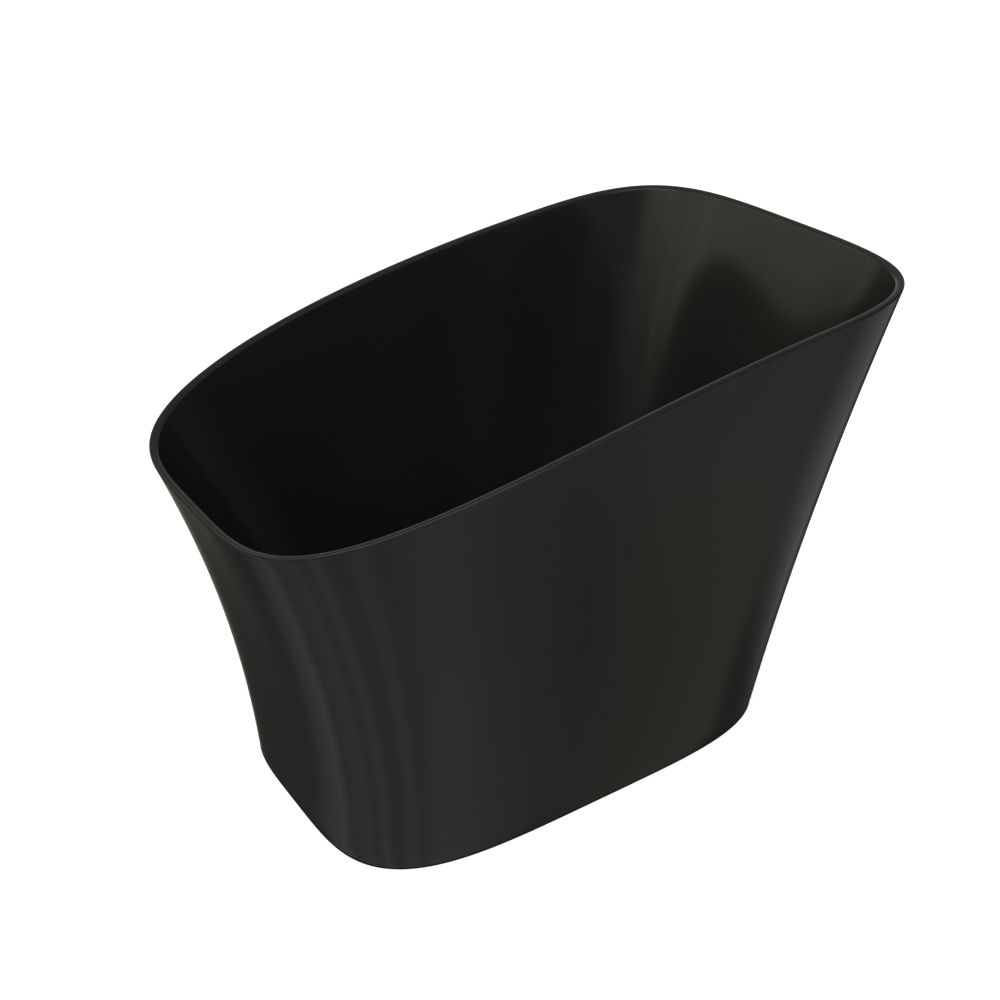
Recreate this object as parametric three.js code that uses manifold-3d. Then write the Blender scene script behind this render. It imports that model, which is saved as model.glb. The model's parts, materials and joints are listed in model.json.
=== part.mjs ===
// Compact freestanding soaking tub. A black acrylic basin and outer skirt meet at a thin rolled rim.
// Under the basin: an encapsulated board, two steel rails, four screw feet, a push-button waste
// and a slim overflow. Millimetres, +Z up, origin on the floor under the middle of the rim.
// The low foot end points to -X, the high head end to +X, and the tub is symmetric about Y = 0.
import * as THREE from 'three';
import { mergeVertices } from 'three/addons/utils/BufferGeometryUtils.js';
import Module from 'manifold-3d';

const wasm = await Module();
wasm.setup();

// ---------- driving dimensions ----------
const GAP = 0.3; // clearance kept between neighbouring pieces
const AROUND = 64; // points around every shell outline
const FACETS = 28; // sides of a large turned piece
const FINE = 16; // sides of a small one

// Plan outlines: egg-shaped superellipses, widest at one station along X.
const RIM = { foot: -600, head: 600, widest: 240, halfWidth: 375, squareness: 3.8 };
const BASE = { foot: -475, head: 430, widest: -22.5, halfWidth: 290, squareness: 4 };
const FLOOR = { foot: -340, head: 330, widest: -5, halfWidth: 235, squareness: 3.4 };

const FOOT_HEIGHT = 640; // rim above the floor at the foot end
const HEAD_HEIGHT = 850; // rim above the floor at the head end
const CROWN = 42; // how far the rim line arches above the straight line between them
const HOLLOW = { foot: 0.82, head: 0.32, side: 0.1 }; // how concave the outer wall is, 0 = straight
// The rolled rim: its width, edge radius, outer face, flat underside, and where the wall begins.
const LIP = { width: 15, edge: 6, depth: 12, underside: 9, root: 26 };
const SKIN = 6; // basin wall and floor
const SKIRT_SKIN = 5;
const FLOOR_TOP = 118; // basin floor, water side
const COVE = 80; // radius between the basin's floor and its walls

const BOARD = { thick: 15, foot: -262, head: 262, halfWidth: 160, squareness: 4 };
const RAIL = { x: [-130, 190], halfLength: 215, width: 40, high: 26, wall: 2.5 };
const RAIL_SCREW = { radius: 3, head: 6.5, headHigh: 4, length: 14, y: 110 };
const FOOT_Y = 185; // screw feet, off the centre line
const STUD = { radius: 6, bottom: 6.6, top: 104, hexBottom: 18, hexTop: 25, flats: 17 };
const NUT = { flats: 19, high: 10, lockHigh: 6 };
const PAD = { radius: 25, neck: 12, socket: 16 };
const SOLE_THICK = 3;

// The waste stands on the centre line. Its pieces are turned: radii, and heights above the floor.
const WASTE_X = -235;
const WASTE_HOLE = 27;
const FLANGE = { bore: 21, neck: 24.5, radius: 35, bevel: 1, bottom: 92, seat: 120.6, top: 123.6 };
const CROSS = { span: 43, width: 5, hub: 8, bottom: 96, top: 101 }; // bars that hold the post
const SEAL = { bore: 27.3, flangeRadius: 33, bodyRadius: 38, bodyBottom: 109.2 };
const BOWL = { bore: 24.8, radius: 30, rim: 40, rimBottom: 104.9, top: 108.9, well: 68,
  cone: 66, neckTop: 60, neck: 24, bottom: 44, ledge: 62 };
const TAIL = { radius: 20, wall: 2.5, bottom: 12, top: 60 }; // tail pipe into the floor drain
const TAIL_NUT = { radius: 29, thread: 24.3, bottom: 36, seat: 40, top: 54 };
const POST = { radius: 4, collar: 7, bottom: 89, collarBottom: 101.3, collarTop: 105.3, top: 118 };
const POST_NUT = { flats: 13, bottom: 91, top: 95.7 };
const PLUG = { radius: 31, hub: 7.5, bottom: 107, socket: 119, under: 126.2, edge: 1, rim: 128.2,
  crown: 130.3 };
const PLUG_SEAL = { bore: 20, radius: 28.5, bottom: 123.9, top: 125.9 };

// The overflow sits high on the foot wall: radii, and heights out of the wall's water side.
const OVERFLOW_Z = 450;
const OVERFLOW_HOLE = 17;
const SPOUT = { bore: 13, neck: 16.5, radius: 23, bevel: 0.5, bottom: -13, top: 3.3 };
const SPOUT_CROSS = { span: 28, width: 5, hub: 5, bottom: -3, top: 1.5 };
const CHAMBER = { radius: 22, wall: 2.5, bottom: -32, floor: -29.8, shoulder: -16, mouth: -13.5,
  bore: 16.8, rim: 25, rimBottom: -11.9, top: -8.9 };
const COVER = { radius: 34, wall: 2.5, bottom: 3.5, under: 10, face: 13, edge: 1.5, boss: 6 };
const COVER_SCREW = { radius: 2.5, head: 5, bottom: -6, seat: 10.8, top: 12.8 }; // M5
const PIPE = { radius: 9, wall: 1.5, behind: 20.5, bend: 60, level: 80 }; // overflow pipe
const STUB = { wall: 2, length: 46 }; // where the pipe leaves the chamber
const ELBOW = { wall: 3, length: 50 }; // where it enters the waste body
const PIPE_NUT = { radius: 16, bottom: -8, seat: -4, top: 6, fromWaste: 50 };

// Heights under the basin floor, from the top down.
const FLOOR_BOTTOM = FLOOR_TOP - SKIN;
const BOARD_TOP = FLOOR_BOTTOM - GAP;
const BOARD_BOTTOM = BOARD_TOP - BOARD.thick;
const RAIL_TOP = BOARD_BOTTOM - GAP;
const RAIL_BOTTOM = RAIL_TOP - RAIL.high;
const WEB_BOTTOM = RAIL_TOP - RAIL.wall;

// ---------- materials ----------
const finish = (color, roughness, metalness = 0) =>
  new THREE.MeshStandardMaterial({ color, roughness, metalness });
const MATERIALS = {
  acrylic: finish(0x24231f, 0.32),
  sealant: finish(0x1c1c1b, 0.7),
  board: finish(0x8b7a5c, 0.9),
  steel: finish(0x9a9c9e, 0.45, 1),
  zinc: finish(0xb4b2a8, 0.4, 1),
  nylon: finish(0x2b2b2b, 0.6),
  rubber: finish(0x171717, 0.9),
  blackMetal: finish(0x1d1d1c, 0.3, 1),
  pipeWhite: finish(0xd9d9d4, 0.5),
};

const tub = new THREE.Group();

function add(name, geometry, material, parent = tub) {
  const mesh = new THREE.Mesh(geometry, MATERIALS[material].clone());
  mesh.name = name;
  parent.add(mesh);
  return mesh;
}

// ---------- solids ----------
// A closed geometry as a solid that can be joined and cut, without its collapsed triangles.
function solid(geometry) {
  const bare = geometry.clone();
  bare.deleteAttribute('normal');
  bare.deleteAttribute('uv');
  const merged = mergeVertices(bare, 1e-4);
  const index = merged.index.array;
  const kept = [];
  for (let i = 0; i < index.length; i += 3) {
    const [a, b, c] = index.slice(i, i + 3);
    if (a !== b && b !== c && c !== a) {
      kept.push(a, b, c);
    }
  }
  return new wasm.Manifold(new wasm.Mesh({
    numProp: 3,
    vertProperties: Float32Array.from(merged.attributes.position.array),
    triVerts: Uint32Array.from(kept),
  }));
}

function geometryOf(manifold) {
  const mesh = manifold.getMesh();
  const geometry = new THREE.BufferGeometry();
  geometry.setAttribute('position', new THREE.BufferAttribute(mesh.vertProperties, 3));
  geometry.setIndex(new THREE.BufferAttribute(mesh.triVerts, 1));
  geometry.computeVertexNormals();
  return geometry;
}

function cut(geometry, ...tools) {
  return geometryOf(tools.reduce((body, tool) => body.subtract(solid(tool)), solid(geometry)));
}

function join(...pieces) {
  return geometryOf(pieces.map(solid).reduce((body, piece) => body.add(piece)));
}

// A turned solid about +Z. Its [radius, z] corners run anticlockwise, from axis to axis.
function turned(corners, segments = FACETS) {
  const points = corners.map(([radius, z]) => new THREE.Vector2(radius, z));
  return new THREE.LatheGeometry(points, segments).rotateX(Math.PI / 2);
}

// A turned ring: the same, with its corners closed on themselves.
function ring(corners, segments = FACETS) {
  return turned([...corners, corners[0]], segments);
}

function washer(bore, radius, bottom, top, segments = FACETS) {
  return ring([[bore, bottom], [radius, bottom], [radius, top], [bore, top]], segments);
}

function rod(radius, bottom, top, segments = FINE) {
  return turned([[0, bottom], [radius, bottom], [radius, top], [0, top]], segments);
}

function box(width, depth, bottom, top) {
  return new THREE.BoxGeometry(width, depth, top - bottom).translate(0, 0, (bottom + top) / 2);
}

function hexNut(acrossFlats, bore, bottom, top) {
  const shape = new THREE.Shape();
  const corner = acrossFlats / 2 / Math.cos(Math.PI / 6);
  for (let i = 0; i < 6; i += 1) {
    const angle = (i + 0.5) * Math.PI / 3;
    const step = i === 0 ? 'moveTo' : 'lineTo';
    shape[step](corner * Math.cos(angle), corner * Math.sin(angle));
  }
  shape.closePath();
  shape.holes.push(new THREE.Path().absarc(0, 0, bore, 0, 2 * Math.PI, true));
  const settings = { depth: top - bottom, bevelEnabled: false, curveSegments: FINE / 2 };
  return new THREE.ExtrudeGeometry(shape, settings).translate(0, 0, bottom);
}

// A closed skin through rings of points that run anticlockwise in plan. Each ring leads to the
// next; a looped skin leads from the last to the first, any other ends in a fan at both ends.
function loft(rings, looped) {
  const positions = rings.flat().flatMap((point) => point.toArray());
  const index = [];
  const band = (from, to) => {
    for (let i = 0; i < AROUND; i += 1) {
      const next = (i + 1) % AROUND;
      index.push(from + i, to + i, to + next);
      index.push(from + i, to + next, from + next);
    }
  };
  for (let i = 1; i < rings.length; i += 1) {
    band((i - 1) * AROUND, i * AROUND);
  }
  const last = (rings.length - 1) * AROUND;
  if (looped) {
    band(last, 0);
  } else {
    positions.push(0, 0, rings[0][0].z, 0, 0, rings.at(-1)[0].z);
    const pole = rings.length * AROUND;
    for (let i = 0; i < AROUND; i += 1) {
      const next = (i + 1) % AROUND;
      index.push(pole, i, next);
      index.push(pole + 1, last + next, last + i);
    }
  }
  const geometry = new THREE.BufferGeometry();
  geometry.setAttribute('position', new THREE.Float32BufferAttribute(positions, 3));
  geometry.setIndex(index);
  geometry.computeVertexNormals();
  return geometry;
}

// One ring: a point for each turn around the tub.
function around(pointAt) {
  return Array.from({ length: AROUND }, (_, i) => pointAt(i * 2 * Math.PI / AROUND));
}

// Evenly spaced shares from 0 to 1, both ends included.
function shares(steps) {
  return Array.from({ length: steps + 1 }, (_, i) => i / steps);
}

// ---------- shell surfaces ----------
const signedPower = (value, power) => Math.sign(value) * Math.abs(value) ** power;

// A point on a plan outline, moved inwards along the outline's normal.
function outlinePoint(plan, turn, inset = 0) {
  const angle = turn - 0.15 * Math.sin(4 * turn); // spreads the points evenly over the sides
  const along = signedPower(Math.cos(angle), 2 / plan.squareness);
  const across = signedPower(Math.sin(angle), 2 / plan.squareness);
  const reach = along < 0 ? plan.widest - plan.foot : plan.head - plan.widest;
  const normal = new THREE.Vector2(
    signedPower(along, plan.squareness - 1) / reach,
    signedPower(across, plan.squareness - 1) / plan.halfWidth,
  ).normalize();
  const point = new THREE.Vector2(plan.widest + reach * along, plan.halfWidth * across);
  return point.addScaledVector(normal, -inset);
}

function headShare(turn) {
  return (outlinePoint(RIM, turn).x - RIM.foot) / (RIM.head - RIM.foot);
}

function rimHeight(turn) {
  const share = headShare(turn);
  const straight = THREE.MathUtils.lerp(FOOT_HEIGHT, HEAD_HEIGHT, share);
  return straight + 4 * CROWN * share * (1 - share);
}

// A point of the outer wall at a height above the floor, moved inwards by the inset. The rim's
// outline is met where the rim's rounded edge begins.
function wallPoint(turn, height, inset = 0) {
  const rim = outlinePoint(RIM, turn, inset);
  const base = outlinePoint(BASE, turn, inset);
  const share = height / (rimHeight(turn) - LIP.edge);
  const sag = share * (1 - share);
  const hollow = THREE.MathUtils.lerp(HOLLOW.foot, HOLLOW.head, headShare(turn));
  const x = THREE.MathUtils.lerp(base.x, rim.x, share - hollow * sag);
  const y = THREE.MathUtils.lerp(base.y, rim.y, share - HOLLOW.side * sag);
  return new THREE.Vector3(x, y, height);
}

// The basin's section at one turn: a straight wall from the floor's sharp corner up to the lip.
function basinSection(turn) {
  const corner = outlinePoint(FLOOR, turn);
  const lip = wallPoint(turn, rimHeight(turn) - LIP.edge, LIP.width);
  const run = new THREE.Vector2(lip.x, lip.y).sub(corner);
  const rise = lip.z - FLOOR_TOP;
  const slope = Math.atan2(rise, run.length());
  return { corner, out: run.clone().normalize(), reach: run.length(), rise, slope,
    tangent: COVE * Math.tan(slope / 2) };
}

function sectionPoint(section, outwards, z) {
  const { corner, out } = section;
  return new THREE.Vector3(corner.x + out.x * outwards, corner.y + out.y * outwards, z);
}

// A point of the rounded corner between floor and wall, depth below the water side.
function covePoint(turn, share, depth) {
  const section = basinSection(turn);
  const angle = share * section.slope;
  const radius = COVE + depth;
  const outwards = radius * Math.sin(angle) - section.tangent;
  return sectionPoint(section, outwards, FLOOR_TOP + COVE - radius * Math.cos(angle));
}

// A point of the basin's straight wall at a height, depth behind the water side.
function basinWallPoint(turn, height, depth) {
  const section = basinSection(turn);
  const up = (height - FLOOR_TOP + depth * Math.cos(section.slope)) / section.rise;
  return sectionPoint(section, section.reach * up + depth * Math.sin(section.slope), height);
}

// The wall above the cove: share 0 is the cove's end and share 1 is the top.
function basinWall(turn, share, depth, drop) {
  const start = covePoint(turn, 1, depth).z;
  const height = THREE.MathUtils.lerp(start, rimHeight(turn) - drop, share);
  return basinWallPoint(turn, height, depth);
}

// ---------- shells ----------
function basinShell() {
  const quarter = shares(3).map((share) => share * Math.PI / 2);
  const lipPoint = (inset, drop) => around((turn) => wallPoint(turn, rimHeight(turn) - drop, inset));
  const rings = [
    ...shares(5).map((share) => around((turn) => covePoint(turn, share, 0))),
    ...shares(2).slice(1).map((share) => around((turn) => basinWall(turn, share, 0, LIP.edge))),
    ...quarter.slice(1).map((angle) => lipPoint(
      LIP.width - LIP.edge * (1 - Math.cos(angle)), LIP.edge * (1 - Math.sin(angle)))),
    ...quarter.map((angle) => lipPoint(
      LIP.edge * (1 - Math.sin(angle)), LIP.edge * (1 - Math.cos(angle)))),
    lipPoint(0, LIP.depth),
    lipPoint(LIP.underside, LIP.depth),
    ...shares(2).map((share) => around((turn) => basinWall(turn, 1 - share, SKIN, LIP.root))),
    ...shares(5).slice(1).map((share) => around((turn) => covePoint(turn, 1 - share, SKIN))),
  ];
  return loft(rings, false);
}

function skirtShell() {
  const top = (turn) => rimHeight(turn) - LIP.depth - GAP;
  const face = (share, inset) => around((turn) => wallPoint(turn, share * top(turn), inset));
  return loft([
    ...shares(6).map((share) => face(1 - share, 0)),
    ...shares(6).map((share) => face(share, SKIRT_SKIN)),
  ], true);
}

function rimBond() {
  const outer = SKIRT_SKIN + GAP;
  const inner = outer + 2.5;
  const top = LIP.depth + GAP;
  const bottom = top + 10;
  const corner = (inset, drop) => around((turn) => wallPoint(turn, rimHeight(turn) - drop, inset));
  return loft([corner(outer, top), corner(outer, bottom), corner(inner, bottom),
    corner(inner, top)], true);
}

// The overflow's own axes: Z out of the foot wall into the tub, X down along the wall.
function overflowPlace() {
  const section = basinSection(Math.PI);
  const place = new THREE.Matrix4().makeRotationY(section.slope);
  return place.setPosition(basinWallPoint(Math.PI, OVERFLOW_Z, 0));
}

const basin = cut(
  basinShell(),
  rod(WASTE_HOLE, FLOOR_BOTTOM - 5, FLOOR_TOP + 5, FACETS).translate(WASTE_X, 0, 0),
  rod(OVERFLOW_HOLE, -SKIN - 5, 5, FACETS).applyMatrix4(overflowPlace()),
);
add('basin', basin, 'acrylic');
add('outer_skirt', skirtShell(), 'acrylic');
add('rim_bond', rimBond(), 'sealant');

// ---------- under-frame ----------
function boardPlate() {
  const plan = { ...BOARD, widest: (BOARD.foot + BOARD.head) / 2 };
  const shape = new THREE.Shape(around((turn) => outlinePoint(plan, turn)));
  const plate = new THREE.ExtrudeGeometry(shape, { depth: BOARD.thick, bevelEnabled: false });
  return plate.translate(0, 0, BOARD_BOTTOM);
}

function railChannel() {
  const length = 2 * RAIL.halfLength;
  const inside = RAIL.width - 2 * RAIL.wall;
  const hole = (radius, y) => rod(radius, RAIL_BOTTOM, RAIL_TOP + 5).translate(0, y, 0);
  return cut(
    box(RAIL.width, length, RAIL_BOTTOM, RAIL_TOP),
    box(inside, length + 10, RAIL_BOTTOM - 5, WEB_BOTTOM),
    ...[-FOOT_Y, FOOT_Y].map((y) => hole(STUD.radius + 1, y)),
    ...[-RAIL_SCREW.y, RAIL_SCREW.y].map((y) => hole(RAIL_SCREW.radius + GAP, y)),
  );
}

function railScrew() {
  const { radius, head, headHigh, length } = RAIL_SCREW;
  const seat = WEB_BOTTOM - GAP;
  return turned([[0, seat - headHigh], [head, seat - headHigh], [head, seat], [radius, seat],
    [radius, seat + length], [0, seat + length + radius]], FINE);
}

function footPad() {
  const bottom = SOLE_THICK + GAP;
  const bore = STUD.radius + GAP;
  const seat = STUD.bottom - GAP;
  return turned([[0, bottom], [PAD.radius, bottom], [PAD.radius, bottom + 4], [PAD.neck, 12],
    [PAD.neck, PAD.socket], [bore, PAD.socket], [bore, seat], [0, seat]], FINE);
}

function footStud() {
  const across = STUD.flats / 2 / Math.cos(Math.PI / 6);
  const hex = new THREE.CylinderGeometry(across, across, STUD.hexTop - STUD.hexBottom, 6);
  hex.rotateX(Math.PI / 2).translate(0, 0, (STUD.hexTop + STUD.hexBottom) / 2);
  return join(rod(STUD.radius, STUD.bottom, STUD.top), hex);
}

function addFoot(number, x, y) {
  const foot = new THREE.Group();
  foot.position.set(x, y, 0);
  tub.add(foot);
  const nutTop = WEB_BOTTOM - GAP;
  const lockTop = nutTop - NUT.high - GAP;
  const bore = STUD.radius + GAP;
  add(`weld_nut_${number}`, hexNut(NUT.flats, bore, nutTop - NUT.high, nutTop), 'steel', foot);
  add(`lock_nut_${number}`, hexNut(NUT.flats, bore, lockTop - NUT.lockHigh, lockTop), 'zinc', foot);
  add(`foot_stud_${number}`, footStud(), 'zinc', foot);
  add(`foot_pad_${number}`, footPad(), 'nylon', foot);
  add(`foot_sole_${number}`, rod(PAD.radius, 0, SOLE_THICK), 'rubber', foot);
}

const wasteCutout = rod(52, BOARD_BOTTOM - 5, BOARD_TOP + 5, FACETS).translate(WASTE_X, 0, 0);
const railScrewSpots = RAIL.x.flatMap((x) => [-RAIL_SCREW.y, RAIL_SCREW.y].map((y) => [x, y]));
const screwHoles = railScrewSpots.map(([x, y]) => rod(
  RAIL_SCREW.radius + GAP, BOARD_BOTTOM - 5, BOARD_TOP + 5).translate(x, y, 0));
add('base_board', cut(boardPlate(), wasteCutout, ...screwHoles), 'board');
RAIL.x.forEach((x, i) => {
  add(`cross_rail_${i + 1}`, railChannel(), 'steel').position.x = x;
});
railScrewSpots.forEach(([x, y], i) => {
  add(`rail_screw_${i + 1}`, railScrew(), 'zinc').position.set(x, y, 0);
});
RAIL.x.flatMap((x) => [-FOOT_Y, FOOT_Y].map((y) => [x, y])).forEach(([x, y], i) => {
  addFoot(i + 1, x, y);
});

// ---------- waste ----------
function crossBars({ span, width, bottom, top }) {
  return [box(span, width, bottom, top), box(width, span, bottom, top)];
}

function wasteFlange() {
  const { bore, neck, radius, bevel, bottom, seat, top } = FLANGE;
  const collar = ring([[bore, bottom], [neck, bottom], [neck, seat], [radius, seat],
    [radius, top - bevel], [radius - bevel, top], [bore + top - seat, top], [bore, seat]]);
  const hub = rod(CROSS.hub, CROSS.bottom, CROSS.top);
  const postHole = rod(POST.radius + GAP, CROSS.bottom - 5, CROSS.top + 5);
  return cut(join(collar, ...crossBars(CROSS), hub), postHole);
}

// A bowl with a neck for the tail pipe and a side branch for the overflow pipe.
function wasteBody() {
  const { bore, radius, rim, rimBottom, top, well, cone, neckTop, neck, bottom, ledge } = BOWL;
  const pipeFit = TAIL.radius + GAP;
  const bowl = ring([[pipeFit, bottom], [neck, bottom], [neck, neckTop], [radius, cone],
    [radius, rimBottom], [rim, rimBottom], [rim, top], [bore, top], [bore, well],
    [pipeFit, ledge]]);
  const branch = (size, from, to) =>
    rod(size, from, to).rotateY(-Math.PI / 2).translate(0, 0, PIPE.level);
  const branchBore = PIPE.radius + GAP;
  const insideOfBowl = rod((bore + radius) / 2, neckTop - 10, top, FACETS);
  const elbow = cut(branch(branchBore + ELBOW.wall, TAIL.radius, ELBOW.length), insideOfBowl);
  return cut(join(bowl, elbow), branch(branchBore, TAIL.radius, ELBOW.length + 5));
}

function tailNut() {
  const { radius, thread, bottom, seat, top } = TAIL_NUT;
  const bore = TAIL.radius + GAP;
  return ring([[bore, bottom], [radius, bottom], [radius, top], [thread, top], [thread, seat],
    [bore, seat]]);
}

function plugCap() {
  const { radius, hub, bottom, socket, under, edge, rim, crown } = PLUG;
  const bore = POST.radius + GAP;
  return turned([[0, socket], [bore, socket], [bore, bottom], [hub, bottom], [hub, under],
    [radius - edge, under], [radius, under + edge], [radius, rim], [radius - 1.5 * edge, rim + edge],
    [radius / 2, crown - 0.3], [0, crown]]);
}

function clickPost() {
  const { radius, collar, bottom, collarBottom, collarTop, top } = POST;
  return turned([[0, bottom], [radius, bottom], [radius, collarBottom], [collar, collarBottom],
    [collar, collarTop], [radius, collarTop], [radius, top], [0, top]], FINE);
}

function postNut() {
  return hexNut(POST_NUT.flats, POST.radius + GAP, POST_NUT.bottom, POST_NUT.top);
}

const flangeGasket = washer(SEAL.bore, SEAL.flangeRadius, FLOOR_TOP + GAP, FLANGE.seat - GAP);
const bodyGasket = washer(SEAL.bore, SEAL.bodyRadius, SEAL.bodyBottom, FLOOR_BOTTOM - GAP);
const plugSeal = washer(PLUG_SEAL.bore, PLUG_SEAL.radius, PLUG_SEAL.bottom, PLUG_SEAL.top);
const tailWasher = washer(TAIL.radius + GAP, BOWL.neck, TAIL_NUT.seat + GAP, BOWL.bottom - GAP);
const tailPipe = washer(TAIL.radius - TAIL.wall, TAIL.radius, TAIL.bottom, TAIL.top);

const waste = new THREE.Group();
waste.position.x = WASTE_X;
tub.add(waste);
add('flange_gasket', flangeGasket, 'rubber', waste);
add('waste_flange', wasteFlange(), 'blackMetal', waste);
add('body_gasket', bodyGasket, 'rubber', waste);
add('waste_body', wasteBody(), 'pipeWhite', waste);
add('click_post', clickPost(), 'zinc', waste);
add('post_nut', postNut(), 'zinc', waste);
add('plug_cap', plugCap(), 'blackMetal', waste);
add('plug_seal', plugSeal, 'rubber', waste);
add('tail_nut', tailNut(), 'pipeWhite', waste);
add('tail_washer', tailWasher, 'rubber', waste);
add('tail_pipe', tailPipe, 'pipeWhite', waste);

// ---------- overflow ----------
function overflowRing() {
  const { bore, neck, radius, bevel, bottom, top } = SPOUT;
  const collar = ring([[bore, bottom], [neck, bottom], [neck, GAP], [radius, GAP],
    [radius, top - bevel], [radius - bevel, top], [bore, top]]);
  const hub = rod(SPOUT_CROSS.hub, SPOUT_CROSS.bottom, top);
  const screwHole = rod(COVER_SCREW.radius + GAP, SPOUT_CROSS.bottom - 2, top + 2);
  return cut(join(collar, ...crossBars(SPOUT_CROSS), hub), screwHole);
}

function overflowBody() {
  const { radius, wall, bottom, floor, shoulder, mouth, bore, rim, rimBottom, top } = CHAMBER;
  const inside = radius - wall;
  const chamber = turned([[0, bottom], [radius, bottom], [radius, rimBottom], [rim, rimBottom],
    [rim, top], [bore, top], [bore, mouth], [inside, shoulder], [inside, floor], [0, floor]]);
  const down = (size, from, to) =>
    rod(size, from, to).rotateY(Math.PI / 2).translate(0, 0, -PIPE.behind);
  const pipeFit = PIPE.radius + GAP;
  const hollow = rod(inside + 1, bottom - 5, -bottom, FACETS);
  const stub = cut(down(pipeFit + STUB.wall, bore, STUB.length), hollow);
  return cut(join(chamber, stub), down(pipeFit, PIPE.radius, STUB.length + 5));
}

function overflowCover() {
  const { radius, wall, bottom, under, face, edge, boss } = COVER;
  const bore = COVER_SCREW.radius + GAP;
  const sink = COVER_SCREW.head + GAP;
  const seat = COVER_SCREW.seat - GAP;
  return ring([[bore, bottom + 0.1], [boss, bottom + 0.1], [boss, under], [radius - wall, under],
    [radius - wall, bottom], [radius, bottom], [radius, face - edge], [radius - edge, face],
    [sink, face], [sink, seat], [bore, seat]]);
}

function overflowScrew() {
  const { radius, head, bottom, seat, top } = COVER_SCREW;
  return turned([[0, bottom], [radius, bottom], [radius, seat], [head, seat], [head, top],
    [0, top]], FINE);
}

// Down behind the foot wall, round one bend, and level into the side of the waste body.
function overflowPipe() {
  const place = overflowPlace();
  const down = new THREE.Vector3().setFromMatrixColumn(place, 0);
  const level = new THREE.Vector3(1, 0, 0);
  const start = new THREE.Vector3(BOWL.radius, 0, -PIPE.behind).applyMatrix4(place);
  const corner = start.clone().addScaledVector(down, (PIPE.level - start.z) / down.z);
  const end = new THREE.Vector3(WASTE_X - BOWL.radius - 2, 0, PIPE.level);
  const turn = down.angleTo(level);
  const tangent = PIPE.bend * Math.tan(turn / 2);
  const centre = corner.clone().addScaledVector(level, tangent).setZ(PIPE.level + PIPE.bend);
  const bend = shares(6).map((share) => {
    const angle = Math.PI + (Math.PI / 2 - turn) + share * turn;
    return new THREE.Vector3(Math.cos(angle), 0, Math.sin(angle)).multiplyScalar(PIPE.bend).add(centre);
  });
  const run = (from, to) => shares(4).map((share) => from.clone().lerp(to, share));
  const route = [...run(start, bend[0]).slice(0, -1), ...bend, ...run(bend.at(-1), end).slice(1)];
  const shape = new THREE.Shape().absarc(0, 0, PIPE.radius, 0, 2 * Math.PI);
  shape.holes.push(new THREE.Path().absarc(0, 0, PIPE.radius - PIPE.wall, 0, 2 * Math.PI, true));
  const extrudePath = new THREE.CatmullRomCurve3(route, false, 'centripetal');
  return new THREE.ExtrudeGeometry(shape, { extrudePath, steps: 18, curveSegments: 6 });
}

function pipeNut() {
  const { radius, bottom, seat, top, fromWaste } = PIPE_NUT;
  const bore = PIPE.radius + GAP;
  const grip = bore + ELBOW.wall + GAP;
  const nut = ring([[bore, bottom], [radius, bottom], [radius, top], [grip, top], [grip, seat],
    [bore, seat]], FINE);
  return nut.rotateY(Math.PI / 2).translate(WASTE_X - fromWaste, 0, PIPE.level);
}

const overflowGasket = washer(OVERFLOW_HOLE + 0.2, CHAMBER.rim, CHAMBER.top + GAP, -SKIN - GAP);

const overflow = new THREE.Group();
overflow.applyMatrix4(overflowPlace());
tub.add(overflow);
add('overflow_ring', overflowRing(), 'blackMetal', overflow);
add('overflow_gasket', overflowGasket, 'rubber', overflow);
add('overflow_body', overflowBody(), 'pipeWhite', overflow);
add('overflow_cover', overflowCover(), 'blackMetal', overflow);
add('overflow_screw', overflowScrew(), 'zinc', overflow);
add('overflow_pipe', overflowPipe(), 'pipeWhite');
add('pipe_nut', pipeNut(), 'pipeWhite');

export default tub;
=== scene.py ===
"""Compact freestanding soaking tub in satin black acrylic, with its waste, overflow and under-frame.

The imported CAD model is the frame. Every node gets a finely modelled piece in the same place, which
rides on the same body. Lengths are millimetres, +Z up, with the origin on the floor under the middle
of the rim; the low foot end points to -X and the high head end to +X. mesh_piece, moved and
add_camera turn them into Blender's metres.
"""

import json
from math import cos, pi, radians, sin, tan
from types import SimpleNamespace as Sizes

import bpy
import numpy as np
from mathutils import Matrix, Vector

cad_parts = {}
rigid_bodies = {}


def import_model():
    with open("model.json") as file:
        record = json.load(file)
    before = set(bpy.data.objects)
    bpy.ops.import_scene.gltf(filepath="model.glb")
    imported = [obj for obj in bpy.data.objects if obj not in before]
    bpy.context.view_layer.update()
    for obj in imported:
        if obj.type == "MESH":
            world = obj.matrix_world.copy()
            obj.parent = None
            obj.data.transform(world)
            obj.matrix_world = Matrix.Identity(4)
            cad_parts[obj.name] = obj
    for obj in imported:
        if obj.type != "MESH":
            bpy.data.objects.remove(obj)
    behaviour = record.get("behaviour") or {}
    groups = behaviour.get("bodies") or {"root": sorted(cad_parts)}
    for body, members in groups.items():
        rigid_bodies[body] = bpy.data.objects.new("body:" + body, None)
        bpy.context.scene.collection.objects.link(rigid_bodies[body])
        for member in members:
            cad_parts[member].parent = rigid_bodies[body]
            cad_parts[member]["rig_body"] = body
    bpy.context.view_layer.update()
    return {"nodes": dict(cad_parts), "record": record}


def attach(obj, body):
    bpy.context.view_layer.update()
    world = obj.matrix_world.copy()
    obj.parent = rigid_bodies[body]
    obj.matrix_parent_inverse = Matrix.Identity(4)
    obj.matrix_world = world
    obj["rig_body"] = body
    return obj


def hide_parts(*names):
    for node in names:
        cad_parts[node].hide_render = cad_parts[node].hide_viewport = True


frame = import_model()

MM = 0.001
SLOTS = {part["node"]: part["material_slot"] for part in frame["record"]["subparts"]}

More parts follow.
